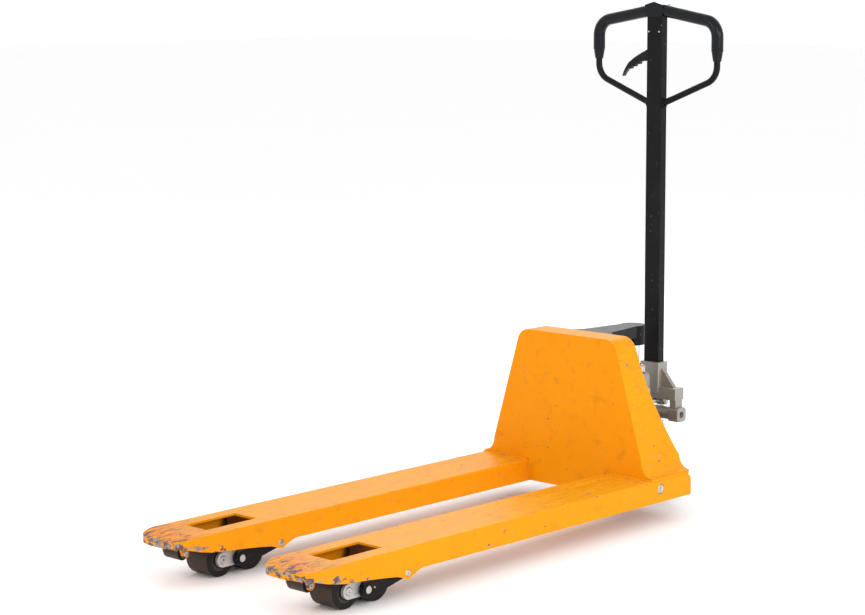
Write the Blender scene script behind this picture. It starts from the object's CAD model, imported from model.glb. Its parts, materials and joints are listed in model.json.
"""Looks of the hand pallet truck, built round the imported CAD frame.

Metres, in the frame's own axes: X forward to the fork tips, Y to the left, Z up.
"""
import json
import math

import bmesh
import bpy
from mathutils import Matrix, Vector, noise


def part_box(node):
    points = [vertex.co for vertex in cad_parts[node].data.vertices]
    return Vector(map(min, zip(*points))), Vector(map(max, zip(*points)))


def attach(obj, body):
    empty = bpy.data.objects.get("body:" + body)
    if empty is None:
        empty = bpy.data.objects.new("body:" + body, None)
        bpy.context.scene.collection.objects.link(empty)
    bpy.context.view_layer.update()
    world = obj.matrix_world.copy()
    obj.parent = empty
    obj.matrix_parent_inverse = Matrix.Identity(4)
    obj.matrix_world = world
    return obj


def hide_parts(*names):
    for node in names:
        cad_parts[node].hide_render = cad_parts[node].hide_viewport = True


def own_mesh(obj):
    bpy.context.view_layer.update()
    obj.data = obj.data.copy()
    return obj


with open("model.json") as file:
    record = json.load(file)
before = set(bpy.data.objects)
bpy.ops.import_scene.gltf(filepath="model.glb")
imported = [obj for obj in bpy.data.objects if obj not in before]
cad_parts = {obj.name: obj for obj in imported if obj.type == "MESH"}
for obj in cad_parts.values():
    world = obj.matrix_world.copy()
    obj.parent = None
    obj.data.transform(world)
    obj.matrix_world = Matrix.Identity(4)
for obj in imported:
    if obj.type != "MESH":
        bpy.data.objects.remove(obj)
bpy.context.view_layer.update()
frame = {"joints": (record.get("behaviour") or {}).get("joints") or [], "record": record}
SIDES = ("left", "right")
BODY = {node: body for body, nodes in frame["record"]["behaviour"]["bodies"].items() for node in nodes}
PIVOT = {j["name"]: Vector(j["pos_m"]) for j in frame["joints"] if j.get("pos_m")}

# ---- camera and stage
CAMERA_PLACE = Vector((3.904, 3.546, 1.318))
CAMERA_FORWARD = Vector((-0.7239, -0.6746, -0.1446))
CAMERA_ROLL = math.radians(-0.2)
CAMERA_LENS = 96.0
SENSOR_WIDTH = 36.0
FLOOR_SIZE = 60.0


def linked(name, data):
    """A new object, placed in the scene."""
    made = bpy.data.objects.new(name, data)
    bpy.context.collection.objects.link(made)
    return made


def make_camera():
    data = bpy.data.cameras.new("camera")
    data.lens = CAMERA_LENS
    data.sensor_width = SENSOR_WIDTH
    camera = linked("camera", data)
    camera.rotation_mode = "QUATERNION"
    camera.location = CAMERA_PLACE
    aim = CAMERA_FORWARD.to_track_quat("-Z", "Y").to_matrix()
    turn = Vector((0.0, 0.0, 1.0))
    camera.rotation_quaternion = (aim @ Matrix.Rotation(CAMERA_ROLL, 3, turn)).to_quaternion()
    bpy.context.scene.camera = camera


def area_light(name, place, target, size, power):
    data = bpy.data.lights.new(name, "AREA")
    data.shape = "RECTANGLE"
    data.size, data.size_y = size
    data.energy = power
    lamp = linked(name, data)
    lamp.location = place
    lamp.rotation_mode = "QUATERNION"
    lamp.rotation_quaternion = (Vector(target) - Vector(place)).to_track_quat("-Z", "Y")


def make_stage():
    world = bpy.data.worlds.new("studio")
    world.use_nodes = True
    background = world.node_tree.nodes["Background"].inputs
    background["Color"].default_value = (1.0, 1.0, 1.0, 1.0)
    background["Strength"].default_value = 1.0
    bpy.context.scene.world = world
    area_light("key", (-0.4, 4.6, 2.1), (0.0, 0.0, 0.35), (2.6, 1.6), 70.0)
    area_light("front", (3.8, -1.0, 2.4), (0.4, 0.0, 0.3), (1.4, 2.0), 26.0)
    area_light("back", (-3.0, -2.4, 2.6), (-0.4, 0.0, 0.5), (2.4, 1.6), 45.0)
    area_light("strip", (1.2, 2.6, 2.4), (-0.73, 0.0, 1.1), (0.25, 1.8), 26.0)
    half = FLOOR_SIZE / 2
    corners = ((-half, -half, 0), (half, -half, 0), (half, half, 0), (-half, half, 0))
    bm = bmesh.new()
    bm.faces.new([bm.verts.new(corner) for corner in corners])
    mesh = bpy.data.meshes.new("floor")
    bm.to_mesh(mesh)
    bm.free()
    floor = linked("floor", mesh)
    g = Graph("floor_paper")
    g.shade(g.tint(g.noise(0.8, 2), (0.975, 0.975, 0.975), (0.99, 0.99, 0.99)), 0.95)
    mesh.materials.append(g.material)
    bpy.context.scene.view_settings.view_transform = "Standard"


# ---- materials
class Graph:
    """Short calls that build one material's node tree."""

    def __init__(self, name):
        self.material = bpy.data.materials.new(name)
        self.material.use_nodes = True
        self.tree = self.material.node_tree
        self.shader = self.tree.nodes["Principled BSDF"]
        self.place = self.tree.nodes.new("ShaderNodeTexCoord").outputs["Object"]

    def node(self, kind, result=0, **inputs):
        new = self.tree.nodes.new("ShaderNode" + kind)
        for name, value in inputs.items():
            self.feed(value, new.inputs[name])
        return new.outputs[result]

    def feed(self, value, socket):
        if isinstance(value, bpy.types.NodeSocket):
            self.tree.links.new(value, socket)
        elif isinstance(value, tuple) and len(value) == 3 and socket.type == "RGBA":
            socket.default_value = (*value, 1.0)
        else:
            socket.default_value = value

    def stretched(self, x, y, z):
        new = self.tree.nodes.new("ShaderNodeMapping")
        self.feed(self.place, new.inputs["Vector"])
        new.inputs["Scale"].default_value = (x, y, z)
        return new.outputs[0]

    def noise(self, scale, detail, roughness=0.55, along=None):
        return self.node("TexNoise", Vector=along or self.place, Scale=scale, Detail=float(detail),
            Roughness=roughness)

    def maths(self, operation, first, second=0.0):
        new = self.tree.nodes.new("ShaderNodeMath")
        new.operation = operation
        new.use_clamp = True
        self.feed(first, new.inputs[0])
        self.feed(second, new.inputs[1])
        return new.outputs[0]

    def times(self, first, second):
        return self.maths("MULTIPLY", first, second)

    def plus(self, first, second):
        return self.maths("ADD", first, second)

    def absolute(self, value):
        new = self.node("Math", Value=value)
        new.node.operation = "ABSOLUTE"
        return new

    def ramp(self, value, low, high, start=0.0, end=1.0):
        new = self.tree.nodes.new("ShaderNodeMapRange")
        new.interpolation_type = "SMOOTHSTEP"
        for name, number in (("From Min", low), ("From Max", high), ("To Min", start), ("To Max", end)):
            new.inputs[name].default_value = number
        self.feed(value, new.inputs["Value"])
        return new.outputs[0]

    def tint(self, factor, first, second):
        new = self.tree.nodes.new("ShaderNodeMix")
        new.data_type = "RGBA"
        self.feed(factor, new.inputs[0])
        self.feed(first, new.inputs[6])
        self.feed(second, new.inputs[7])
        return new.outputs[2]

    def axis(self, vector, which):
        return self.node("SeparateXYZ", result="XYZ".index(which), Vector=vector)

    def normal(self):
        return self.tree.nodes.new("ShaderNodeNewGeometry").outputs["Normal"]

    def edges(self, radius):
        """Near 1 on outer and inner corners, from how far a rounded normal leaves the true one."""
        new = self.tree.nodes.new("ShaderNodeVectorMath")
        new.operation = "DOT_PRODUCT"
        self.feed(self.node("Bevel", Radius=radius), new.inputs[0])
        self.feed(self.normal(), new.inputs[1])
        return self.ramp(self.maths("SUBTRACT", 1.0, new.outputs["Value"]), 0.04, 0.2)

    def bump(self, height, distance, strength):
        return self.node("Bump", Height=height, Distance=distance, Strength=strength)

    def shade(self, colour, roughness, metallic=None, bump=None, **settings):
        self.feed(colour, self.shader.inputs["Base Color"])
        self.feed(roughness, self.shader.inputs["Roughness"])
        if metallic is not None:
            self.feed(metallic, self.shader.inputs["Metallic"])
        if bump is not None:
            self.feed(bump, self.shader.inputs["Normal"])
        for name, value in settings.items():
            self.feed(value, self.shader.inputs[name.replace("_", " ")])


def yellow_paint():
    """Enamel: saturated on the sides, rubbed pale on the tops, chipped through to metal at the nose."""
    g = Graph("yellow_paint")
    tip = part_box("fork_left")[1].x
    forward, height, facing = g.axis(g.place, "X"), g.axis(g.place, "Z"), g.axis(g.normal(), "Z")
    top = g.ramp(facing, 0.8, 0.97)
    shoulder = g.times(g.ramp(facing, 0.1, 0.4), g.ramp(facing, 0.86, 0.98, 1.0, 0.0))
    over_edge = g.maths("SUBTRACT", g.plus(height, 0.03), g.times(forward, 0.147))
    low_edge = g.ramp(over_edge, 0.012, 0.03, 1.0, 0.0)
    lip = g.ramp(forward, tip - 0.03, tip - 0.006)
    nose = g.ramp(forward, tip - 0.26, tip - 0.05, 0.1, 1.0)

    blotch = g.noise(9.0, 5)
    lengthwise = g.noise(7.0, 6, 0.65, g.stretched(1.0, 22.0, 22.0))
    hair = g.noise(24.0, 8, 0.72, g.stretched(1.0, 26.0, 20.0))
    side = g.tint(blotch, (0.76, 0.258, 0.002), (0.84, 0.305, 0.003))
    rubbed = g.tint(g.ramp(lengthwise, 0.35, 0.65), (0.7, 0.262, 0.004), (0.8, 0.335, 0.01))
    colour = g.tint(g.times(top, g.ramp(blotch, 0.25, 0.55, 0.65, 1.0)), side, rubbed)
    dirt = g.times(g.ramp(g.noise(26.0, 6, 0.7), 0.52, 0.72), 0.3)
    colour = g.tint(dirt, colour, (0.34, 0.13, 0.02))
    inboard = g.maths("SUBTRACT", g.absolute(g.axis(g.place, "Y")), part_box("fork_left")[0].y)
    under = g.times(g.times(g.ramp(inboard, 0.0045, 0.0053), g.ramp(inboard, 0.1447, 0.1455, 1.0, 0.0)),
        g.ramp(height, 0.107, 0.1078, 1.0, 0.0))
    before_window = g.ramp(g.plus(forward, g.times(height, 0.35)), 0.54, 0.562, 0.96, 0.0)
    greasy = g.times(g.times(under, g.ramp(forward, 0.02, 0.05)), before_window)
    colour = g.tint(greasy, colour, (0.012, 0.009, 0.007))
    scuff = g.times(g.ramp(g.plus(hair, g.times(nose, 0.095)), 0.575, 0.635),
        g.ramp(g.maths("MAXIMUM", top, shoulder), 0.0, 1.0, 0.16, 0.85))
    primer = g.tint(g.ramp(blotch, 0.5, 0.56), (0.27, 0.115, 0.06), (0.48, 0.085, 0.045))
    colour = g.tint(scuff, colour, primer)

    rubbed_through = g.times(g.times(top, g.ramp(forward, tip - 0.11, tip - 0.02)),
        g.ramp(g.noise(14.0, 7, 0.7, g.stretched(1.0, 3.2, 1.0)), 0.505, 0.555))
    exposed = g.plus(g.plus(shoulder, g.times(low_edge, 0.9)), g.times(lip, 0.6))
    flake = g.noise(72.0, 7, 0.66, g.stretched(0.55, 0.8, 1.15))
    chip = g.ramp(g.plus(flake, g.times(g.times(nose, exposed), 0.185)), 0.658, 0.67)
    worn = g.maths("MAXIMUM", chip, rubbed_through)
    metal = g.ramp(g.noise(70.0, 5, 0.7), 0.47, 0.55)
    oxide = g.tint(g.noise(90.0, 4), (0.085, 0.052, 0.052), (0.17, 0.112, 0.105))
    colour = g.tint(worn, colour, g.tint(g.times(metal, chip), oxide, (0.33, 0.31, 0.3)))
    rough = g.plus(g.ramp(lengthwise, 0.3, 0.7, 0.34, 0.5), g.times(worn, 0.12))
    relief = g.maths("SUBTRACT", g.ramp(g.noise(170.0, 3), 0.2, 0.8, 0.8, 1.0), g.times(worn, 0.6))
    g.shade(colour, rough, g.times(g.times(metal, chip), 0.75), g.bump(relief, 0.0005, 0.6),
        Specular_IOR_Level=0.07)
    return g.material


def black_coat():
    """Satin powder coat with a fine orange-peel grain and bright rubbed corners."""
    g = Graph("black_coat")
    grain = g.noise(900.0, 2, 0.6)
    rim = g.times(g.edges(0.0016), g.ramp(g.noise(70.0, 5, 0.7), 0.54, 0.66))
    dust = g.ramp(g.noise(14.0, 6, 0.65), 0.45, 0.75)
    nicks = g.ramp(g.noise(120.0, 5, 0.7), 0.655, 0.675)
    colour = g.tint(dust, (0.0026, 0.0027, 0.0031), (0.0068, 0.0068, 0.0072))
    colour = g.tint(g.maths("MAXIMUM", rim, nicks), colour, (0.1, 0.1, 0.1))
    g.shade(colour, g.ramp(dust, 0.0, 1.0, 0.34, 0.48), g.times(rim, 0.6), g.bump(grain, 0.00012, 0.5),
        Specular_IOR_Level=0.15)
    return g.material


def grip_plastic():
    """Blue-black moulded grip, glossier than the tube, with faint moulding ripple."""
    g = Graph("grip_plastic")
    cloud = g.noise(22.0, 4)
    pores = g.noise(1400.0, 2)
    relief = g.plus(g.times(pores, 0.4), g.noise(60.0, 2))
    g.shade(g.tint(cloud, (0.0034, 0.0038, 0.0056), (0.0062, 0.007, 0.01)),
        g.ramp(cloud, 0.3, 0.7, 0.2, 0.32), None, g.bump(relief, 0.0001, 0.5), Specular_IOR_Level=0.2)
    return g.material


def casting(name, dark, light, rust):
    """Sand-cast surface: coarse grain, darker in its hollows, with a little rust."""
    g = Graph(name)
    grain = g.noise(420.0, 5, 0.7)
    patch = g.noise(24.0, 5, 0.6)
    colour = g.tint(patch, dark, light)
    colour = g.tint(g.times(g.ramp(g.noise(48.0, 6, 0.7), 0.56, 0.7), 0.55), colour, rust)
    rim = g.edges(0.0014)
    colour = g.tint(g.times(rim, 0.5), colour, (0.55, 0.54, 0.52))
    g.shade(colour, g.ramp(grain, 0.3, 0.7, 0.42, 0.62), g.ramp(patch, 0.3, 0.7, 0.45, 0.7),
        g.bump(grain, 0.00045, 0.7))
    return g.material


def steel(name, colour, roughness, scratch_axis):
    """Machined or ground steel with turning marks round its axis and a dull film."""
    g = Graph(name)
    scale = {"X": (60, 1, 1), "Y": (1, 60, 1), "Z": (1, 1, 60)}[scratch_axis]
    marks = g.noise(26.0, 3, 0.5, g.stretched(*scale))
    film = g.noise(40.0, 5, 0.6)
    dull = tuple(0.55 * part for part in colour)
    rough = g.ramp(marks, 0.3, 0.7, roughness * 0.8, roughness * 1.3)
    g.shade(g.tint(g.ramp(film, 0.45, 0.7), colour, dull), rough, 1.0, g.bump(marks, 0.00006, 0.5))
    return g.material


def tread():
    """Polyurethane: brown with floor dust where it runs, black on its sides, scuffed round the tread."""
    g = Graph("tread")
    dust = g.noise(30.0, 6, 0.65)
    nicks = g.ramp(g.noise(150.0, 5, 0.7), 0.58, 0.7)
    round_marks = g.noise(40.0, 4, 0.6, g.stretched(1.0, 14.0, 1.0))
    sideways = g.absolute(g.axis(g.normal(), "Y"))
    running = g.tint(dust, (0.03, 0.018, 0.011), (0.06, 0.039, 0.026))
    running = g.tint(g.times(g.ramp(round_marks, 0.5, 0.65), 0.5), running, (0.09, 0.064, 0.045))
    colour = g.tint(g.ramp(sideways, 0.35, 0.75), running, (0.0075, 0.0068, 0.0065))
    colour = g.tint(g.times(nicks, 0.6), colour, (0.014, 0.011, 0.01))
    g.shade(colour, g.ramp(dust, 0.3, 0.7, 0.36, 0.54), None,
        g.bump(g.maths("SUBTRACT", 1.0, nicks), 0.0003, 0.6), Specular_IOR_Level=0.2)
    return g.material


def brass():
    g = Graph("brass")
    film = g.noise(120.0, 4)
    g.shade(g.tint(film, (0.55, 0.36, 0.13), (0.72, 0.5, 0.2)), g.ramp(film, 0.3, 0.7, 0.28, 0.45), 1.0)
    return g.material


def make_materials():
    """The materials, by the names of their slots."""
    looks = {"yellow_paint": yellow_paint(), "black_coat": black_coat(), "brass": brass(),
        "black_plastic": grip_plastic(), "polyurethane_tread": tread()}
    for name, dark, light, rust in (
            ("bare_casting", (0.24, 0.225, 0.2), (0.42, 0.4, 0.365), (0.22, 0.12, 0.07)),
            ("link_casting", (0.4, 0.39, 0.38), (0.62, 0.61, 0.6), (0.26, 0.18, 0.13)),
            ("wheel_core", (0.014, 0.013, 0.012), (0.036, 0.033, 0.03), (0.09, 0.05, 0.03))):
        looks[name] = casting(name, dark, light, rust)
    looks["machined_steel"] = steel("machined_steel", (0.56, 0.56, 0.55), 0.3, "Y")
    looks["hard_chrome"] = steel("hard_chrome", (0.74, 0.74, 0.75), 0.1, "Z")
    return looks


# ---- outlines
def arc(centre, radius, start, end, steps):
    """Points along an arc, angles in degrees."""
    turn = [math.radians(start + (end - start) * i / steps) for i in range(steps + 1)]
    return [(centre[0] + radius * math.cos(a), centre[1] + radius * math.sin(a)) for a in turn]


def circle(centre, radius, sides):
    return arc(centre, radius, 0, 360, sides)[:-1]


def rectangle(low_a, high_a, low_b, high_b, corner=0.0, steps=4):
    if not corner:
        return [(low_a, low_b), (high_a, low_b), (high_a, high_b), (low_a, high_b)]
    places = ((high_a - corner, low_b + corner, -90), (high_a - corner, high_b - corner, 0),
        (low_a + corner, high_b - corner, 90), (low_a + corner, low_b + corner, 180))
    return [p for a, b, start in places for p in arc((a, b), corner, start, start + 90, steps)]


def strap(first, first_radius, second, second_radius, sides=64):
    """Outline round two circles and their outer tangents."""
    across, up = second[0] - first[0], second[1] - first[1]
    aim = math.degrees(math.atan2(up, across))
    lean = math.degrees(math.acos((first_radius - second_radius) / math.hypot(across, up)))
    half = sides // 2
    return (arc(first, first_radius, aim + lean, aim + 360 - lean, half)
        + arc(second, second_radius, aim - lean, aim + lean, half))


def fillet(points, radii, steps=14):
    """Round the inner corners of an open path of 2-D points."""
    path = [points[0]]
    for before, corner, after, radius in zip(points, points[1:], points[2:], radii):
        unit = []
        for p in (before, after):
            x, y = p[0] - corner[0], p[1] - corner[1]
            unit.append((x / math.hypot(x, y), y / math.hypot(x, y)))
        half = math.acos(max(-1, min(1, unit[0][0] * unit[1][0] + unit[0][1] * unit[1][1]))) / 2
        middle = (unit[0][0] + unit[1][0], unit[0][1] + unit[1][1])
        reach = radius / math.sin(half) / math.hypot(*middle)
        centre = (corner[0] + middle[0] * reach, corner[1] + middle[1] * reach)
        tangent = radius / math.tan(half)
        ends = [math.atan2(corner[1] + v * tangent - centre[1], corner[0] + u * tangent - centre[0])
            for u, v in unit]
        swing = (ends[1] - ends[0] + math.pi) % (2 * math.pi) - math.pi
        path += arc(centre, radius, math.degrees(ends[0]), math.degrees(ends[0] + swing), steps)
    return path + [points[-1]]


def rounded(points, radius, steps=5):
    """Round every corner of a closed outline."""
    loop = [points[-1]] + points + [points[0]]
    return fillet(loop, [radius] * len(points), steps)[1:-1]


def smooth_curve(points, steps=6):
    """A curve through the points (Catmull-Rom)."""
    ends = [points[0]] + list(points) + [points[-1]]
    curve = []
    for a, b, c, d in zip(ends, ends[1:], ends[2:], ends[3:]):
        for i in range(steps):
            t = i / steps
            curve.append(tuple(0.5 * (2 * b[k] + (c[k] - a[k]) * t
                + (2 * a[k] - 5 * b[k] + 4 * c[k] - d[k]) * t * t
                + (3 * b[k] - a[k] - 3 * c[k] + d[k]) * t ** 3) for k in range(2)))
    return curve + [points[-1]]


# ---- solids
def at(axis, a, b, c):
    """World point from two coordinates in the plane across an axis, in XYZ order, and one along it."""
    return {"X": (c, a, b), "Y": (a, c, b), "Z": (a, b, c)}[axis]


def prism(outline, axis, one_end, other_end):
    """An outline drawn out along an axis; its two ends may come in either order."""
    low, high = sorted((one_end, other_end))
    bm = bmesh.new()
    bottom = [bm.verts.new(at(axis, a, b, low)) for a, b in outline]
    top = [bm.verts.new(at(axis, a, b, high)) for a, b in outline]
    bm.faces.new(bottom)
    bm.faces.new(reversed(top))
    for i in range(len(outline)):
        bm.faces.new((bottom[i - 1], bottom[i], top[i], top[i - 1]))
    return bm


def rod(centre, radius, axis, low, high, sides=48):
    return prism(circle(centre, radius, sides), axis, low, high)


def cross_rod(centre, radius, half, y=0.0, sides=48):
    """A rod across the truck, as long to the left of y as to the right."""
    return rod(centre, radius, "Y", y - half, y + half, sides)


def bar(profile, centre, axis, sides=48):
    """A solid turned bar, from its (radius, height) steps."""
    bm = bmesh.new()
    rings = [[bm.verts.new(at(axis, a, b, h)) for a, b in circle(centre, r, sides)] for r, h in profile]
    for before, here in zip(rings, rings[1:]):
        for j in range(sides):
            bm.faces.new((before[j - 1], before[j], here[j], here[j - 1]))
    bm.faces.new(rings[0])
    bm.faces.new(reversed(rings[-1]))
    return bm


def both_sides(half, place=0.0):
    """A profile from (radius, distance) steps, the same on both sides of a place on the axis."""
    return [(r, place - d) for r, d in half] + [(r, place + d) for r, d in reversed(half)]


def lathe(profile, centre, axis, sides=72):
    """Turn a closed profile of (radius, height) points, which stays off the axis, round the axis."""
    bm = bmesh.new()
    rings = [[bm.verts.new(at(axis, centre[0] + a * r, centre[1] + b * r, h)) for r, h in profile]
        for a, b in circle((0.0, 0.0), 1.0, sides)]
    for i, here in enumerate(rings):
        for j in range(len(profile)):
            bm.faces.new((rings[i - 1][j - 1], rings[i - 1][j], here[j], here[j - 1]))
    return bm


def sweep(path, radii, normal, sides=24, closed=False):
    """A round bar along a path; the normal is a direction that the path never runs along."""
    bm = bmesh.new()
    points = [Vector(p) for p in path]
    count = len(points)
    rings = []
    for i, point in enumerate(points):
        after = points[(i + 1) % count] if closed else points[min(i + 1, count - 1)]
        before = points[i - 1] if closed else points[max(i - 1, 0)]
        ahead = (after - before).normalized()
        first = ahead.cross(Vector(normal)).normalized()
        second = ahead.cross(first).normalized()
        radius = radii[i] if isinstance(radii, list) else radii
        rings.append([bm.verts.new(point + first * (radius * a) + second * (radius * b))
            for a, b in circle((0.0, 0.0), 1.0, sides)])
    pairs = list(zip(rings, rings[1:])) + ([(rings[-1], rings[0])] if closed else [])
    for before, here in pairs:
        for j in range(sides):
            bm.faces.new((before[j - 1], before[j], here[j], here[j - 1]))
    if not closed:
        bm.faces.new(rings[0])
        bm.faces.new(reversed(rings[-1]))
    return bm


def plain(name, bm):
    bmesh.ops.recalc_face_normals(bm, faces=bm.faces)
    mesh = bpy.data.meshes.new(name)
    bm.to_mesh(mesh)
    bm.free()
    return linked(name, mesh)


def softened(bm, width):
    """Bevel the sharp edges of a shape before it joins another."""
    bmesh.ops.recalc_face_normals(bm, faces=bm.faces)
    sharp = [e for e in bm.edges if e.calc_face_angle(0.0) > math.radians(35)]
    bmesh.ops.bevel(bm, geom=sharp, offset=width, segments=2, profile=0.5, affect="EDGES")
    return bm


def settle(made):
    """Replace an object's mesh by what its modifiers make of it."""
    graph = bpy.context.evaluated_depsgraph_get()
    mesh = bpy.data.meshes.new_from_object(made.evaluated_get(graph))
    made.modifiers.clear()
    made.data = mesh


def combine(made, operation, bm):
    helper = plain("helper", bm)
    modifier = made.modifiers.new("Boolean", "BOOLEAN")
    modifier.operation = operation
    modifier.object = helper
    settle(made)
    bpy.data.objects.remove(helper, do_unlink=True)


def add(made, *shapes):
    for bm in shapes:
        combine(made, "UNION", bm)


def cut(made, *shapes):
    for bm in shapes:
        combine(made, "DIFFERENCE", bm)


def add_cheeks(made, outline, near, far, y=0.0):
    """Add one outline as two plates, the same way out on both sides of y."""
    add(made, prism(outline, "Y", y - far, y - near), prism(outline, "Y", y + near, y + far))


def dress(made, look, *nodes, soften=0.0007, body=None, slot=None):
    """Round the edges, shade, give the material, and stand for the CAD nodes on their body."""
    if soften:
        modifier = made.modifiers.new("Bevel", "BEVEL")
        modifier.width = soften
        modifier.segments = 2
        modifier.limit_method = "ANGLE"
        modifier.angle_limit = math.radians(35)
        settle(made)
    made.data.shade_smooth()
    made.data.set_sharp_from_angle(angle=math.radians(38))
    weigh = made.modifiers.new("Weighted normals", "WEIGHTED_NORMAL")
    weigh.keep_sharp = True
    settle(made)
    made.data.materials.clear()
    made.data.materials.append(LOOK[look])
    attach(made, body or BODY[nodes[0]])
    if nodes:
        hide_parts(*nodes)
    return made


def piece(name, shape, look, *nodes, **how):
    """Make and dress a piece whose shape is whole already."""
    return dress(plain(name, shape), look, *nodes, soften=0, **how)


def middle(node):
    low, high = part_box(node)
    return (low + high) / 2


def flat(point, axis="Y"):
    """The two coordinates across an axis."""
    return {"X": (point.y, point.z), "Y": (point.x, point.z), "Z": (point.x, point.y)}[axis]


# ---- plain turned pieces
def turned_pieces():
    """Shafts and pins: chamfered ends, a centre mark, and the CAD piece's own place and size."""
    rods = [("torsion_shaft", "Y"), ("rocker_cross_pin", "Y"), ("steer_axle", "Y"),
        ("tiller_pivot_pin", "Y"), ("lever_pivot_pin", "X"), ("lift_ram", "Z"), ("control_rod", "Z")]
    rods += [(f"{name}_{side}", "Y") for side in SIDES
        for name in ("arm_pivot_pin", "entry_roller_pin", "crank_pin")]
    rods += [(f"bogie_axle_{side}_{end}", "Y") for side in SIDES for end in ("front", "rear")]
    for node, axis in rods:
        low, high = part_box(node)
        along = "XYZ".index(axis)
        centre = (low + high) / 2
        reach = (high - low)[along] / 2
        radius = (high - low)[(along + 1) % 3] / 2
        chamfer = min(0.0012, radius * 0.18)
        half = [(radius * 0.22, reach - chamfer * 1.6), (radius * 0.34, reach),
            (radius - chamfer, reach), (radius, reach - chamfer)]
        look = {"lift_ram": "hard_chrome", "lever_pivot_pin": "black_coat"}.get(node, "machined_steel")
        profile = both_sides(half, centre[along])
        piece(f"{node}_turned", bar(profile, flat(centre, axis), axis), look, node)


# ---- forks
PLATE = 0.005
EDGE = 0.009
WINDOW_X = (0.505, 0.653)
WINDOW_HALF_WIDTH = 0.036
PIVOT_HOLE = 0.0083
SHAFT_HOLE = 0.0123
SEAT_STEP = 0.0005              # the hood's seat lies this far under the load face
EAR_THICKNESS = 0.006
NOSE_LENGTH = 0.072
NOSE_POWER = 2.6
NOSE_DROP = 0.007


def nose_plan(low, high, inset, back):
    length, half = NOSE_LENGTH - inset, (high.y - low.y) / 2 - inset
    centre_x, centre_y = high.x - NOSE_LENGTH, (low.y + high.y) / 2
    outline = [(back, centre_y - half)]
    steps = 40
    for step in range(-steps, steps + 1):
        angle = math.radians(90 * step / steps)
        forward = max(math.cos(angle), 0.0) ** (2 / NOSE_POWER) if abs(step) < steps else 0.0
        sideways = math.copysign(abs(math.sin(angle)) ** (2 / NOSE_POWER), step)
        outline.append((centre_x + length * forward, centre_y + half * sideways))
    return outline + [(back, centre_y + half)]


def droop(bm, start, end, above):
    """Slope the top down towards the tip."""
    for x in [start + (end - start) * i / 6 for i in range(6)]:
        geometry = bm.verts[:] + bm.edges[:] + bm.faces[:]
        bmesh.ops.bisect_plane(bm, geom=geometry, dist=1e-5, plane_co=(x, 0, 0), plane_no=(1, 0, 0))
    bmesh.ops.remove_doubles(bm, verts=bm.verts, dist=1e-5)
    for vert in bm.verts:
        if vert.co.z > above and vert.co.x > start:
            t = (vert.co.x - start) / (end - start)
            vert.co.z -= NOSE_DROP * (t * t * (1.6 - 0.6 * t))
    bmesh.ops.triangulate(bm, faces=bm.faces)


def fork(side):
    low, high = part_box(f"fork_{side}")
    y, half, top = (low.y + high.y) / 2, (high.y - low.y) / 2, high.z
    start = high.x - NOSE_LENGTH
    pivot = flat(PIVOT[f"arm_{side}_swing"])
    shaft = flat(PIVOT["rocker_turn"])
    eye = flat(PIVOT[f"entry_roller_{side}_spin"])
    outside = prism(nose_plan(low, high, 0.0, low.x), "Z", 0.02, top)
    rim = [e for e in outside.edges if all(v.co.z > top - 1e-5 for v in e.verts)
        and not all(v.co.x < low.x + 1e-5 for v in e.verts)]
    bmesh.ops.bevel(outside, geom=rim, offset=EDGE, segments=6, profile=0.5, affect="EDGES")
    droop(outside, start, high.x, top - EDGE - 0.001)
    made = plain(f"fork_{side}_shell", outside)
    inside = prism(nose_plan(low, high, PLATE, low.x + PLATE), "Z", 0.01, top - PLATE)
    droop(inside, start, high.x, top - PLATE - 0.001)
    cut(made, inside)
    bulge = arc(pivot, 0.013, -125, -62, 12)
    belly = smooth_curve([bulge[-1], (0.484, 0.0492), (0.507, 0.0553), (0.581, 0.064), (0.653, 0.0702),
        (0.7, 0.0785), (0.73, 0.0866), (0.75, 0.0907), (high.x + 0.004, 0.092)])
    below = ([(low.x - 0.01, 0.058)] + smooth_curve([(0.4, 0.06), (0.422, 0.0596), (0.44, 0.054),
        bulge[0]]) + bulge[1:] + belly[1:] + [(high.x + 0.004, 0.0), (low.x - 0.01, 0.0)])
    cut(made, prism(below, "Y", y - 0.1, y + 0.1))
    seat = top - SEAT_STEP
    step_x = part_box("head_hood")[1].x + 0.0003
    heel = ([(low.x - 0.01, top + 0.01), (low.x - 0.01, seat - 0.02)]
        + arc((low.x + 0.02, seat - 0.02), 0.02, 180, 90, 12) + [(step_x, seat), (step_x, top + 0.01)])
    cut(made, prism(heel, "Y", y - 0.1, y + 0.1))
    window = rectangle(*WINDOW_X, y - WINDOW_HALF_WIDTH, y + WINDOW_HALF_WIDTH, 0.002)
    cut(made, prism(window, "Z", 0.095, 0.13), cross_rod(pivot, PIVOT_HOLE, 0.08, y),
        cross_rod(shaft, SHAFT_HOLE + 0.0001, 0.08, y))
    for inner in (-0.033, 0.027):
        ear = [(eye[0] + 0.024, 0.1065), (eye[0] - 0.024, 0.1095)] + arc(eye, 0.01, 180, 360, 20)
        add(made, prism(ear, "Y", y + inner, y + inner + EAR_THICKNESS))
    guard = arc(eye, 0.0255, 22, 84, 16) + arc(eye, 0.0215, 84, 22, 16)
    add(made, prism(guard, "Y", y - 0.0275, y + 0.0275))
    cut(made, cross_rod(eye, 0.0063, 0.04, y))
    dress(made, "yellow_paint", f"fork_{side}", soften=0.0009)
    stiffeners(side, y, half, top)


def stiffeners(side, y, half, top):
    """Doubler plates on the inside of both skirts beside the window."""
    wall = half - PLATE
    outline = fillet([(0.655, 0.0785), (0.655, top - PLATE - 0.001), (0.5, top - PLATE - 0.001),
        (0.5, 0.0665)], [0.004, 0.024])
    for sign in (-1, 1):
        doubler = prism(outline, "Y", y + sign * (wall - 0.0003), y + sign * (wall - 0.0045))
        made = plain(f"fork_{side}_doubler_{'inner' if sign < 0 else 'outer'}", doubler)
        dress(made, "yellow_paint", body=BODY[f"fork_{side}"], soften=0.0005)


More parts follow.
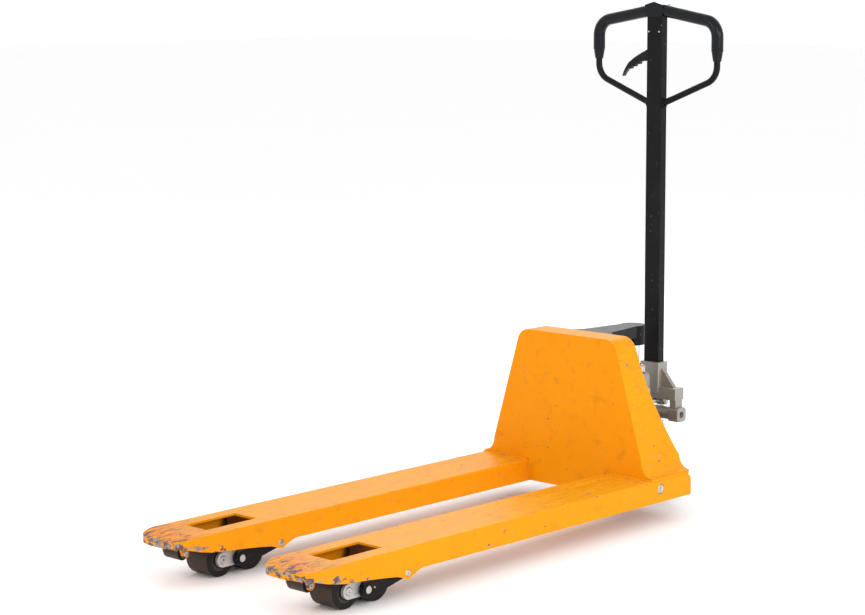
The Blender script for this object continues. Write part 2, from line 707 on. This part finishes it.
# ---- hood and crosshead
def hood_outline(inset, top):
    turns = [math.radians(5 * step) for step in range(19)]
    flare = [(0.264 - (0.03 + inset) * math.sin(turn), 0.1535 - (0.035 + inset) * math.cos(turn))
        for turn in turns]
    crown = fillet([flare[-1], (0.148 - inset, top - inset), (0.0, top - inset)], [0.036 - inset])
    return flare + crown[1:-1]


def mirrored(half):
    return half + [(-y, z) for y, z in reversed(half)]


def head_hood():
    low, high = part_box("head_hood")
    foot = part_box("fork_left")[1].z - 0.0002
    outer = [(0.264, foot)] + hood_outline(0.0, high.z)
    inner = [(0.2525, 0.1)] + hood_outline(PLATE, high.z)[6:]
    made = plain("head_hood_shell", prism(mirrored(outer), "X", low.x, high.x))
    cut(made, prism(mirrored(inner), "X", low.x - 0.01, high.x - PLATE))
    edge = smooth_curve([(-0.529, 0.15), (-0.517, 0.172), (-0.503, 0.205), (-0.486, 0.25),
        (-0.47, 0.3), (-0.458, 0.36), (-0.45, 0.46)])
    cut(made, prism([(-0.6, 0.15)] + edge + [(-0.6, 0.46)], "Y", -0.3, 0.3))
    reach = -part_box("fork_right")[1].y - 0.0003
    add(made, prism(rectangle(-reach, reach, low.z, 0.135), "X", high.x - PLATE - 0.001, high.x))
    dress(made, "yellow_paint", "head_hood", soften=0.0014)
    front, back, seam = high.x + 0.0025, low.x + 0.006, foot + 0.0008
    for side, sign in (("left", 1), ("right", -1)):
        weld_line(f"hood_front_weld_{side}", (front, sign * 0.129, seam), (front, sign * 0.262, seam))
        weld_line(f"hood_side_weld_{side}", (back, sign * 0.2652, foot), (front, sign * 0.2652, foot),
            0.0036)
        weld_line(f"hood_apron_weld_{side}", (high.x - 0.001, sign * 0.119, 0.062),
            (high.x - 0.001, sign * 0.119, 0.11), 0.0026)


def weld_line(name, start, end, radius=0.0022):
    """A painted weld bead: a rippled bar along a straight seam."""
    start, end = Vector(start), Vector(end)
    count = max(12, int((end - start).length / 0.0011))
    path = [start.lerp(end, i / count) for i in range(count + 1)]
    radii = [radius * (0.86 + 0.14 * abs(math.sin(i * 0.9)) + 0.12 * noise.noise(p * 90))
        for i, p in enumerate(path)]
    radii[0] = radii[-1] = radius * 0.4
    sideways = (0.3, 0.2, 1.0) if start.z == end.z else (1.0, 0.3, 0.0)
    piece(name, sweep(path, radii, sideways, sides=12), "yellow_paint", body="fork_frame")


def crosshead():
    low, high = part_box("crosshead")
    x = PIVOT["steering"].x
    boss = (x, 0.0)
    bar_plan = rounded([(high.x, -0.085), (high.x, 0.085), (-0.455, 0.085), (-0.5, 0.045),
        (x + 0.016, 0.0277), (x + 0.016, -0.0277), (-0.5, -0.045), (-0.455, -0.085)], 0.004)
    made = plain("crosshead_casting", prism(bar_plan, "Z", 0.405, high.z))
    add(made, rod(boss, 0.0319, "Z", low.z, high.z - 0.0004, sides=72))
    cut(made, rod(boss, 0.0184, "Z", low.z - 0.01, 0.4043))
    dress(made, "black_coat", "crosshead", soften=0.0016)
    for index, (bx, by) in enumerate([(-0.44, 0.06), (-0.44, -0.06), (-0.405, 0.06), (-0.405, -0.06)]):
        hexagon = circle((bx, by), 0.0105, 6)
        nut = plain(f"crosshead_nut_{index}", prism(hexagon, "Z", 0.3965, 0.4047))
        add(nut, rod((bx, by), 0.0058, "Z", 0.3935, 0.3975, sides=24))
        dress(nut, "machined_steel", body="fork_frame", soften=0.0006)


# ---- arms, bogies and rollers
PUSH_POINT = (0.4601, 0.0834)   # eye of the load arm that the pushrod presses on
PUSH_PIN = (0.4601, 0.0809)     # pin at the pushrod's front end


def load_arm(side):
    y = middle(f"fork_{side}").y
    pivot, bogie = flat(PIVOT[f"arm_{side}_swing"]), flat(PIVOT[f"bogie_{side}_level"])
    made = plain(f"load_arm_{side}_casting", cross_rod(pivot, 0.0139, 0.0572, y))
    add_cheeks(made, strap(pivot, 0.0145, bogie, 0.018), 0.046, 0.058, y)
    add_cheeks(made, strap(pivot, 0.0143, PUSH_POINT, 0.015), 0.009, 0.016, y)
    for sign in (-1, 1):
        near, far = y + sign * 0.057, y + sign * 0.0592
        add(made, rod(bogie, 0.0145, "Y", near, far), rod(pivot, 0.0118, "Y", near, far))
    cut(made, cross_rod(pivot, PIVOT_HOLE, 0.07, y), cross_rod(PUSH_POINT, 0.0104, 0.02, y),
        cross_rod(bogie, 0.0094, 0.07, y))
    dress(made, "black_coat", f"load_arm_{side}", soften=0.0014)
    grease_nipple(side, y, pivot, bogie)


def grease_nipple(side, y, pivot, bogie):
    """Small brass nipple on the outer cheek, just behind the bogie pin."""
    outward = 1 if y > 0 else -1
    face = y + outward * 0.0581
    centre = (pivot[0] + (bogie[0] - pivot[0]) * 0.86, pivot[1] + (bogie[1] - pivot[1]) * 0.86 + 0.001)
    steps = [(0.0022, -0.001), (0.0022, 0.0024), (0.0014, 0.0027), (0.0014, 0.0036), (0.0018, 0.0041),
        (0.001, 0.005)]
    profile = [(r, face + outward * h) for r, h in steps]
    piece(f"grease_nipple_{side}", bar(profile, centre, "Y", sides=24), "brass", body=f"load_arm_{side}",
        slot="machined_steel")


def bogie_frame(side):
    y = middle(f"fork_{side}").y
    pivot = flat(PIVOT[f"bogie_{side}_level"])
    ends = [flat(PIVOT[f"roller_{side}_{end}_spin"]) for end in ("rear", "front")]
    pin = both_sides([(0.0075, 0.0585), (0.009, 0.0572), (0.009, 0.0368), (0.004, 0.0366)], y)
    made = plain(f"bogie_frame_{side}_casting", bar(pin, pivot, "Y"))
    link = strap(ends[0], 0.017, ends[1], 0.01702)
    for sign in (-1, 1):
        add(made, prism(link, "Y", y + sign * 0.0365, y + sign * 0.0443))
        for a, b in ((ends[0], pivot), (pivot, ends[1])):
            x, z = (a[0] + b[0]) / 2, (a[1] + b[1]) / 2
            hollow = strap((x - 0.0045, z), 0.0085, (x + 0.0045, z), 0.00851)
            cut(made, prism(hollow, "Y", y + sign * 0.043, y + sign * 0.046))
    for place in ends:
        cut(made, cross_rod(place, 0.0093, 0.05, y))
        for near, far in ((y - 0.05, y - 0.0433), (y + 0.0433, y + 0.05)):
            cut(made, rod(place, 0.0106, "Y", near, far))
    dress(made, "link_casting", f"bogie_frame_{side}", soften=0.0011, slot="bare_casting")


def rounded_tyre(inner, outer, low, high, shoulder):
    """Profile of a tyre with rounded shoulders."""
    edge = outer - shoulder
    return ([(inner, low)] + arc((edge, low + shoulder), shoulder, -90, 0, 6)
        + arc((edge, high - shoulder), shoulder, 0, 90, 6) + [(inner, high)])


def load_roller(side, end):
    node = f"roller_tyre_{side}_{end}"
    low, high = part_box(node)
    centre = flat(PIVOT[f"roller_{side}_{end}_spin"])
    profile = rounded_tyre(0.026, (high.z - low.z) / 2, low.y, high.y, 0.0028)
    piece(f"{node}_moulding", lathe(profile, centre, "Y", sides=96), "polyurethane_tread", node)
    reach = (high.y - low.y) / 2 - 0.001
    core = [(0.0094, reach - 0.002), (0.014, reach - 0.002), (0.0146, reach - 0.0006),
        (0.0205, reach - 0.0006), (0.0212, reach - 0.003), (0.0226, reach - 0.003),
        (0.0232, reach), (0.0257, reach)]
    turned = lathe(both_sides(core, (low.y + high.y) / 2), centre, "Y")
    piece(f"roller_core_{side}_{end}_turned", turned, "wheel_core", f"roller_core_{side}_{end}")


def entry_roller(side):
    node = f"entry_roller_{side}"
    low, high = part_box(node)
    profile = rounded_tyre(0.0064, (high.z - low.z) / 2, low.y, high.y, 0.002)
    piece(f"{node}_moulding", lathe(profile, flat(PIVOT[f"{node}_spin"]), "Y", sides=64),
        "polyurethane_tread", node)


# ---- rocker and pushrods
def rocker():
    shaft, cross = flat(PIVOT["rocker_turn"]), flat(middle("rocker_cross_pin"))
    made = plain("rocker_lever_casting", cross_rod(shaft, 0.0188, 0.07))
    add_cheeks(made, strap(shaft, 0.0193, cross, 0.014), 0.048, 0.062)
    cut(made, cross_rod(shaft, SHAFT_HOLE, 0.08), cross_rod(cross, 0.0082, 0.08))
    dress(made, "black_coat", "rocker_lever", soften=0.0014)
    for side in SIDES:
        y = middle(f"fork_{side}").y
        pin = flat(middle(f"crank_pin_{side}"))
        made = plain(f"crank_{side}_casting", cross_rod(shaft, 0.0153, 0.0153, y))
        add_cheeks(made, strap(shaft, 0.0167, pin, 0.012), 0.009, 0.016, y)
        cut(made, cross_rod(shaft, SHAFT_HOLE, 0.02, y), cross_rod(pin, 0.0063, 0.02, y))
        dress(made, "black_coat", f"crank_{side}", soften=0.001)


def pushrod(side):
    y = middle(f"fork_{side}").y
    rear = flat(middle(f"crank_pin_{side}"))
    length = math.hypot(PUSH_PIN[0] - rear[0], PUSH_PIN[1] - rear[1])
    unit = ((PUSH_PIN[0] - rear[0]) / length, (PUSH_PIN[1] - rear[1]) / length)
    places = [(rear[0] + unit[0] * d, y, rear[1] + unit[1] * d)
        for d in (0.009, 0.04, 0.042, length - 0.08, length - 0.078, length - 0.009)]
    radii = [0.006, 0.006, 0.0075, 0.0075, 0.006, 0.006]
    made = plain(f"pushrod_{side}_forging", sweep(places, radii, (0, 1, 0)))
    add(made, cross_rod(rear, 0.0115, 0.008, y), cross_rod(PUSH_PIN, 0.01, 0.008, y),
        cross_rod(PUSH_PIN, 0.006, 0.017, y))
    cut(made, cross_rod(rear, 0.0063, 0.02, y))
    dress(made, "machined_steel", f"pushrod_{side}", soften=0.0008)


# ---- steering head
def base_bracket():
    x = PIVOT["steering"].x
    made = plain("base_bracket_casting", rod((x, 0.0), 0.052, "Z", 0.181, 0.203, sides=96))
    foot = fillet([(-0.5215, 0.15), (-0.5215, 0.094), (-0.478, 0.094), (-0.478, 0.17)], [0.01, 0.01])
    ear = [(x, 0.2028), (x, 0.1812), (-0.5215, 0.1812)] + foot + [(-0.5, 0.2028)]
    add_cheeks(made, ear, 0.034, 0.046)
    slot = strap((-0.5059, 0.1098), 0.0092, (-0.4933, 0.1098), 0.00921)
    cut(made, rod((x, 0.0), 0.0328, "Z", 0.17, 0.21, sides=96), prism(slot, "Y", -0.06, 0.06))
    dress(made, "black_coat", "base_bracket", soften=0.0012)
    ring = both_sides([(0.0326, 0.00345), (0.05, 0.00345), (0.05, 0.00095), (0.0488, 0.00055)], 0.20675)
    piece("thrust_bearing_rings", lathe(ring, (x, 0.0), "Z"), "machined_steel", "thrust_bearing")


def pump_body():
    x, axle = PIVOT["steering"].x, flat(PIVOT["steer_wheel_left_spin"])
    tilt, plunger = flat(PIVOT["tiller_tilt"]), middle("pump_plunger").x
    release = flat(PIVOT["release_turn"])
    centre = (x, 0.0)
    column = rounded(rectangle(x - 0.034, x + 0.034, -0.0225, 0.0225), 0.008)
    made = plain("pump_body_casting", prism(column, "Z", 0.058, 0.177))
    flange = [(0.0485, 0.2105), (0.05, 0.212), (0.05, 0.217), (0.0462, 0.2225), (0.0455, 0.3),
        (0.044, 0.307), (0.04, 0.312)]
    barrel = [(0.012, 0.078), (0.014, 0.08), (0.014, 0.143), (0.0125, 0.145)]
    upper = [(x, 0.2115), (-0.694, 0.2115), (-0.7, 0.186), (-0.729, 0.186), (-0.729, 0.2163),
        (-0.709, 0.218), (-0.68, 0.22), (-0.672, 0.25), (x, 0.262)]
    lower = [(plunger, 0.108), (plunger, 0.14), (-0.7385, 0.143), (-0.735, 0.16), (-0.735, 0.19),
        (-0.715, 0.19), (-0.7, 0.172), (x, 0.172), (x, 0.095), (-0.7, 0.1)]
    add(made, rod(centre, 0.0318, "Z", 0.1725, 0.22, sides=72), bar(flange, centre, "Z", sides=96),
        prism(upper, "Y", -0.02, 0.02), prism(lower, "Y", -0.012, 0.012),
        cross_rod(tilt, 0.016, 0.058), bar(barrel, (plunger, 0.0), "Z"))
    add_cheeks(made, rectangle(-0.694, -0.68, 0.214, 0.238), 0.0072, 0.011)
    lever_slot = rectangle(-0.705, -0.676, 0.2212, 0.242)
    cut(made, cross_rod(tilt, PIVOT_HOLE, 0.07), rod((plunger, 0.0), 0.0092, "Z", 0.082, 0.16),
        cross_rod(axle, SHAFT_HOLE, 0.04), rod(centre, 0.0185, "Z", 0.2055, 0.33),
        rod((x, 0.27), 0.0072, "Y", 0.032, 0.06), prism(lever_slot, "Y", -0.007, 0.007),
        cross_rod(release, 0.0033, 0.02, sides=24))
    dress(made, "bare_casting", "pump_body", soften=0.0016)


def pump_fittings():
    x = PIVOT["steering"].x
    centre = (x, 0.0)
    steps = [(0.03, 0.3125), (0.033, 0.3145), (0.033, 0.33), (0.03, 0.332)]
    gland = plain("cylinder_gland_nut", bar(steps, centre, "Z", sides=6))
    cut(gland, rod(centre, 0.0184, "Z", 0.3, 0.34, sides=72))
    dress(gland, "machined_steel", "cylinder_gland", soften=0.0008)
    wiper = [(0.0184, 0.3318), (0.0225, 0.3318), (0.022, 0.335), (0.019, 0.3362), (0.0184, 0.335)]
    piece("ram_wiper", lathe(wiper, centre, "Z"), "black_plastic", body="steering_head")
    steps = [(0.007, 0.033), (0.007, 0.0463), (0.0095, 0.0463), (0.0095, 0.052), (0.0085, 0.053)]
    plug = plain("filler_plug_hex", bar(steps, (x, 0.27), "Y", sides=6))
    dress(plug, "machined_steel", "filler_plug", soften=0.0004)
    low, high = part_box("pump_plunger")
    stem = [(0.0078, low.z), (0.0088, low.z + 0.001), (0.0088, 0.2063), (0.0106, 0.2065),
        (0.011, 0.207), (0.011, 0.2115), (0.01, high.z - 0.0002), (0.004, high.z)]
    piece("pump_plunger_turned", bar(stem, (middle("pump_plunger").x, 0.0), "Z"), "hard_chrome",
        "pump_plunger")
    spring()
    blade_middle = flat(PIVOT["release_turn"])
    low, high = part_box("release_lever")
    blade = ([(low.x + 0.001, 0.224), (low.x, 0.2252), (low.x, 0.229), (low.x + 0.001, 0.23),
        (-0.704, 0.23)] + arc(blade_middle, 0.0065, 120, -120, 28) + [(-0.704, 0.224)])
    lever = plain("release_lever_forging", prism(blade, "Y", -0.006, 0.006))
    add(lever, rod(blade_middle, 0.003, "Y", low.y, high.y, sides=24))
    dress(lever, "machined_steel", "release_lever", soften=0.0007)


def spring():
    """Coil with closed ends, in the CAD spring's box."""
    low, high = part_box("plunger_spring")
    wire, turns, per_turn = 0.001, 7.5, 28
    x = (low.x + high.x) / 2
    coil = (high.x - low.x) / 2 - wire - 0.0006
    bottom, top = low.z + wire, high.z - wire
    path = []
    count = int(turns * per_turn)
    for i in range(count + 1):
        turn = i / per_turn
        t = min(max((turn - 0.8) / (turns - 1.6), 0.0), 1.0)
        slow = 2.1 * wire
        climb = bottom + slow * min(turn, 0.8) / 0.8 + (top - bottom - 2 * slow) * t
        climb += slow * min(max((turn - turns + 0.8) / 0.8, 0.0), 1.0)
        angle = 2 * math.pi * turn
        path.append((x + coil * math.cos(angle), coil * math.sin(angle), climb))
    made = piece("plunger_spring_coil", sweep(path, wire, (0, 0, 1), sides=10), "machined_steel",
        "plunger_spring")
    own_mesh(made)


def steer_wheel(side):
    y = PIVOT[f"steer_wheel_{side}_spin"].y
    centre = flat(PIVOT[f"steer_wheel_{side}_spin"])
    low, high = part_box(f"steer_tyre_{side}")
    tyre = lathe(rounded_tyre(0.068, (high.z - low.z) / 2, low.y, high.y, 0.006), centre, "Y", sides=120)
    piece(f"steer_tyre_{side}_moulding", tyre, "polyurethane_tread", f"steer_tyre_{side}")
    reach = (high.y - low.y) / 2 - 0.001
    hub = both_sides([(0.0264, reach), (0.0335, reach), (0.0345, reach - 0.001), (0.0365, 0.012),
        (0.0385, 0.011), (0.0575, 0.011), (0.0598, 0.012), (0.0622, reach - 0.001),
        (0.0632, reach), (0.0677, reach)], y)
    made = plain(f"steer_hub_{side}_casting", lathe(hub, centre, "Y", sides=96))
    for index in range(5):
        angle = math.radians(90 + 72 * index)
        place = (centre[0] + 0.048 * math.cos(angle), centre[1] + 0.048 * math.sin(angle))
        cut(made, cross_rod(place, 0.0065, 0.03, y, sides=32))
    dress(made, "wheel_core", f"steer_hub_{side}", soften=0.0007)
    seal = both_sides([(0.0124, 0.023), (0.0165, 0.023), (0.017, 0.0222), (0.0215, 0.0222),
        (0.022, 0.023), (0.026, 0.023), (0.026, 0.01), (0.02, 0.01)], y)
    piece(f"steer_bearing_{side}_rings", lathe(seal, centre, "Y"), "machined_steel",
        f"steer_bearing_{side}")
    outward = 1 if y > 0 else -1
    washer = sorted((outward * 0.0755, outward * 0.0772))
    ring = [(0.0122, washer[0]), (0.0175, washer[0]), (0.0175, washer[1]), (0.0122, washer[1])]
    dress(plain(f"axle_washer_{side}", lathe(ring, centre, "Y")), "machined_steel", body="steering_head",
        soften=0.0003)


# ---- tiller
TUBE_CLEARANCE = (0.0233, 0.0133)
TUBE_WALL = 0.0025
LOOP_RADIUS = 0.008
BEAD_RING = 0.0088              # radius of the weld ring at the loop's foot


def chamfered_square(centre, half, chamfer):
    a, b = centre
    near = half - chamfer
    return [(a - half, b - near), (a - near, b - half), (a + near, b - half), (a + half, b - near),
        (a + half, b + near), (a + near, b + half), (a - near, b + half), (a - half, b + near)]


def tiller_yoke():
    tilt = flat(PIVOT["tiller_tilt"])
    x = tilt[0]
    bridge = rectangle(x - 0.018, x + 0.018, 0.238, 0.268)
    upright = rectangle(x - 0.014, x + 0.014, 0.21, 0.262)
    made = plain("tiller_yoke_casting", prism(bridge, "Y", -0.082, 0.082))
    eye = rounded(chamfered_square(tilt, 0.018, 0.006), 0.002)
    for sign in (-1, 1):
        gusset = [(sign * 0.028, 0.262), (sign * 0.074, 0.262), (sign * 0.028, 0.318)]
        add(made, prism(eye, "Y", sign * 0.059, sign * 0.09),
            prism(upright, "Y", sign * 0.0622, sign * 0.0812), prism(gusset, "X", x - 0.006, x + 0.006))
    add(made, prism(rounded(rectangle(x - 0.02, x + 0.02, -0.03, 0.03), 0.004), "Z", 0.255, 0.33))
    roller = flat(PIVOT["cam_roller_spin"])
    lug = [(x - 0.004, 0.245), (x - 0.017, 0.262)] + arc(roller, 0.008, 120, 300, 24)
    add_cheeks(made, lug, 0.0125, 0.0195)
    wide, deep = TUBE_CLEARANCE
    cut(made, prism(rectangle(x - deep, x + deep, -wide, wide), "Z", 0.2722, 0.34),
        rod((x, -0.006), 0.005, "Z", 0.22, 0.28), cross_rod(tilt, PIVOT_HOLE, 0.1),
        cross_rod(roller, 0.0042, 0.03, sides=24))
    dress(made, "bare_casting", "tiller_yoke", soften=0.0013)
    wheel = both_sides([(0.0034, 0.0205), (0.0039, 0.02), (0.0039, 0.0118), (0.0082, 0.0118),
        (0.009, 0.011)])
    piece("cam_roller_turned", bar(wheel, roller, "Y"), "machined_steel", "cam_roller")


def tiller_tube():
    low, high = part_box("tiller_tube")
    x = middle("tiller_tube").x
    wide, deep = high.y, (high.x - low.x) / 2
    lever = flat(PIVOT["lever_squeeze"], "X")
    outer = rectangle(x - deep, x + deep, -wide, wide, 0.0032, 6)
    inner = rectangle(x - deep + TUBE_WALL, x + deep - TUBE_WALL, -wide + TUBE_WALL, wide - TUBE_WALL,
        0.001)
    slot = rectangle(x - 0.008, x + 0.008, 1.08, 1.134, 0.003)
    made = plain("tiller_tube_drawn", prism(outer, "Z", low.z, high.z))
    cut(made, prism(inner, "Z", low.z - 0.01, high.z + 0.01), prism(slot, "Y", -0.03, -0.015),
        rod(lever, 0.0042, "X", x - 0.02, x + 0.02, sides=24))
    dress(made, "black_coat", "tiller_tube", soften=0.0005)
    face = x + deep
    head = [(0.0016, face - 0.002), (0.0016, face + 0.0002), (0.0024, face + 0.0002),
        (0.0022, face + 0.0009), (0.0013, face + 0.0013), (0.0011, face + 0.0009)]
    for index, y in enumerate((-0.016, 0.016)):
        screw = bar(head, (y, 1.165), "X", sides=28)
        piece(f"handle_screw_{index}", screw, "machined_steel", body="tiller")


def loop_path(steps=14):
    """Half of the loop's centre line, from the tube's left side over the shoulder to the crown."""
    tube_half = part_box("tiller_tube")[1].y
    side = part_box("handle_loop")[1].y - LOOP_RADIUS
    start, elbow = (tube_half + 0.0037, 0.9885), (side, 1.0528)
    return fillet([start, elbow, (side, 1.1884), (0.0, 1.221)], [0.045, 0.042], steps)


def both_ways(half, x):
    return [(x, y, z) for y, z in half + [(-y, z) for y, z in reversed(half[:-1])]]


def handle_loop():
    x = middle("tiller_tube").x
    tube = sweep(both_ways(loop_path(), x), LOOP_RADIUS, (1, 0, 0), sides=32)
    piece("handle_loop_tube", tube, "black_coat", "handle_loop")
    start, after = loop_path()[:2]
    tube_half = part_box("tiller_tube")[1].y
    slope = math.atan2(after[1] - start[1], after[0] - start[0])
    count = 64
    for side, sign in (("left", 1), ("right", -1)):
        ring = []
        for i in range(count):
            angle = 2 * math.pi * i / count
            rise = BEAD_RING * math.sin(angle) / math.cos(slope)
            ring.append((x + BEAD_RING * math.cos(angle), sign * (tube_half + 0.0014),
                start[1] - 0.0014 + rise))
        radii = [0.0032 * (0.8 + 0.25 * abs(math.sin(i * 0.8)) + 0.2 * noise.noise(Vector(p) * 160))
            for i, p in enumerate(ring)]
        bead = sweep(ring, radii, (0, 1, 0), sides=12, closed=True)
        piece(f"loop_weld_{side}", bead, "black_coat", body="tiller")


def grip_cover():
    """Moulded cover: cuffs at the lower ends, round grips, and the block over the tiller tube."""
    x = middle("tiller_tube").x
    base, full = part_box("grip_cover")[0].z, 0.0148
    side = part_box("handle_loop")[1].y - LOOP_RADIUS
    cuff = [(0.0, 0.0096), (0.001, 0.0103), (0.008, 0.0114), (0.016, 0.0128), (0.0225, 0.0137),
        (0.0232, 0.0137), (0.024, 0.0146), (0.0255, full), (0.03, full)]
    starts = [(side, base + lift) for lift, _ in cuff]
    upright = [(y, z) for y, z in loop_path(16) if z > base + 0.034]
    span = 16
    (shoulder_y, shoulder_z), (_, crown_z) = upright[-2:]
    upright = upright[:-1] + [(shoulder_y * (1 - i / span), shoulder_z + (crown_z - shoulder_z) * i / span)
        for i in range(1, span + 1)]
    half = starts + upright
    swell = [r for _, r in cuff]
    swell += [full + 0.0016 * max(0.0, 1 - abs(y) / 0.065) ** 1.5 for y, _ in upright]
    grips = sweep(both_ways(half, x), swell + swell[-2::-1], (1, 0, 0), sides=40)
    made = plain("grip_cover_moulding", grips)
    block = fillet([(-0.0275, 1.2015), (-0.0275, 1.2316), (0.0, 1.2394), (0.0275, 1.2316),
        (0.0275, 1.2015)], [0.003, 0.012, 0.003], 8)
    add(made, softened(prism(block, "X", x - 0.0168, x + 0.0168), 0.0016))
    wide, deep = TUBE_CLEARANCE
    cut(made, prism(rectangle(x - deep, x + deep, -wide, wide), "Z", 1.19, 1.2083))
    below = [(side, base - 0.01)] + half
    cut(made, sweep(both_ways(below, x), LOOP_RADIUS + 0.0003, (1, 0, 0), sides=32))
    dress(made, "black_plastic", "grip_cover", soften=0)


def control_lever():
    """Finger lever with a grooved underside and a boss inside the tube."""
    x = middle("tiller_tube").x
    pivot = flat(PIVOT["lever_squeeze"], "X")
    upper = smooth_curve([(-0.019, 1.124), (-0.031, 1.118), (-0.048, 1.1098), (-0.065, 1.1006),
        (-0.078, 1.092), (-0.087, 1.0846), (-0.098, 1.069), (-0.1055, 1.053)], 4)
    lower = smooth_curve([(-0.1037, 1.051), (-0.098, 1.0592), (-0.089, 1.0682), (-0.0835, 1.0706),
        (-0.079, 1.0706), (-0.076, 1.0752), (-0.07, 1.0768), (-0.0655, 1.0766),
        (-0.0625, 1.0815), (-0.0565, 1.083), (-0.052, 1.0828), (-0.049, 1.088),
        (-0.043, 1.0902), (-0.031, 1.091), (-0.022, 1.094)], 4)
    lower += [(-0.0135, 1.1062), (-0.006, 1.115), (0.003, 1.1158)]
    outline = upper + lower + arc(pivot, 0.009, -75, 150, 30)
    made = plain("control_lever_moulding", prism(outline, "X", x - 0.0065, x + 0.0065))
    cut(made, rod(pivot, 0.0042, "X", x - 0.02, x + 0.02, sides=24))
    dress(made, "black_plastic", "control_lever", soften=0.0016)


# ---- the truck
make_camera()
make_stage()
LOOK = make_materials()
turned_pieces()
for side_name in SIDES:
    fork(side_name)
    load_arm(side_name)
    bogie_frame(side_name)
    for end_name in ("front", "rear"):
        load_roller(side_name, end_name)
    entry_roller(side_name)
    pushrod(side_name)
    steer_wheel(side_name)
head_hood()
crosshead()
rocker()
base_bracket()
pump_body()
pump_fittings()
tiller_yoke()
tiller_tube()
handle_loop()
grip_cover()
control_lever()
